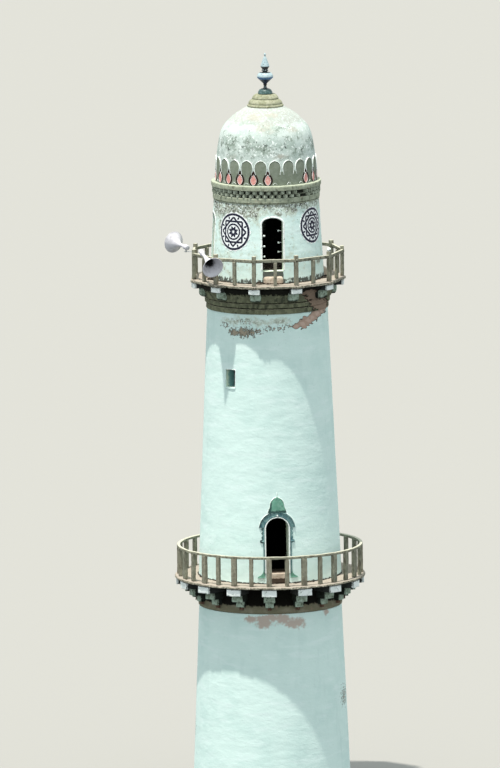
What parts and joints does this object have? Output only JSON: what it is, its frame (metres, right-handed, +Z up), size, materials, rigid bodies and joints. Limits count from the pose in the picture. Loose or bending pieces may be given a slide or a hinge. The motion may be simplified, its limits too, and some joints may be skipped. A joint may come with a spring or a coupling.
{
  "type": "minaret",
  "caption": "Round plastered masonry minaret with two railed balconies, stepped corbels, arched doorways, a petalled dome, a turned finial and two loudspeaker horns.",
  "frame": {"origin": "centre of the tower's foot, at ground level", "axes": "+Z up along the tower's axis; the lower balcony's doorway faces -Y; +X is to the right as one faces that doorway"},
  "size_m": [5.8123, 5.64, 22.055],
  "materials": {
    "limewash": "matt limewash on lime plaster over brick, streaked and flaking",
    "dome_plaster": "matt off-white plaster with mildew",
    "khaki_plaster": "matt painted plaster mouldings, weathered",
    "grey_cement": "bare weathered cement render",
    "corbel_paint": "painted cement, chipped",
    "relief_green": "green paint on plaster relief",
    "finial_glaze": "weathered teal glaze",
    "horn_paint": "light grey enamel on spun aluminium",
    "galvanized_steel": "dull galvanized steel"
  },
  "bodies": {
    "root": {"ground_slab": "grey_cement", "base_wall_front_right": "limewash", "base_wall_back_right": "limewash", "base_wall_back_left": "limewash", "base_wall_front_left": "limewash", "entrance_head": "limewash", "corbel_course_front_right": "corbel_paint", "corbel_course_back_right": "corbel_paint", "corbel_course_back_left": "corbel_paint", "corbel_course_front_left": "corbel_paint", "lower_balcony_slab": "grey_cement", "lower_railing_front_right": "grey_cement", "lower_railing_back_right": "grey_cement", "lower_railing_back_left": "grey_cement", "lower_railing_front_left": "grey_cement", "main_wall_front_right": "limewash", "main_wall_back_right": "limewash", "main_wall_back_left": "limewash", "main_wall_front_left": "limewash", "main_wall_over_window": "limewash", "window_cheek_left": "limewash", "window_cheek_right": "limewash", "door_head": "limewash", "door_threshold": "grey_cement", "door_surround": "relief_green", "upper_cove": "khaki_plaster", "upper_balcony_slab": "grey_cement", "upper_railing_front_right": "grey_cement", "upper_railing_back_right": "grey_cement", "upper_railing_back_left": "grey_cement", "upper_railing_front_left": "grey_cement", "drum_floor": "grey_cement", "drum_pier_front_right": "limewash", "drum_pier_back_right": "limewash", "drum_pier_back_left": "limewash", "drum_pier_front_left": "limewash", "drum_head_front": "limewash", "drum_head_right": "limewash", "drum_head_back": "limewash", "drum_head_left": "limewash", "cornice": "khaki_plaster", "dome": "dome_plaster", "finial_base": "khaki_plaster", "finial": "finial_glaze", "horn_1": "horn_paint", "horn_2": "horn_paint", "horn_bracket_1": "galvanized_steel", "horn_bracket_2": "galvanized_steel"}
  },
  "joints": []
}
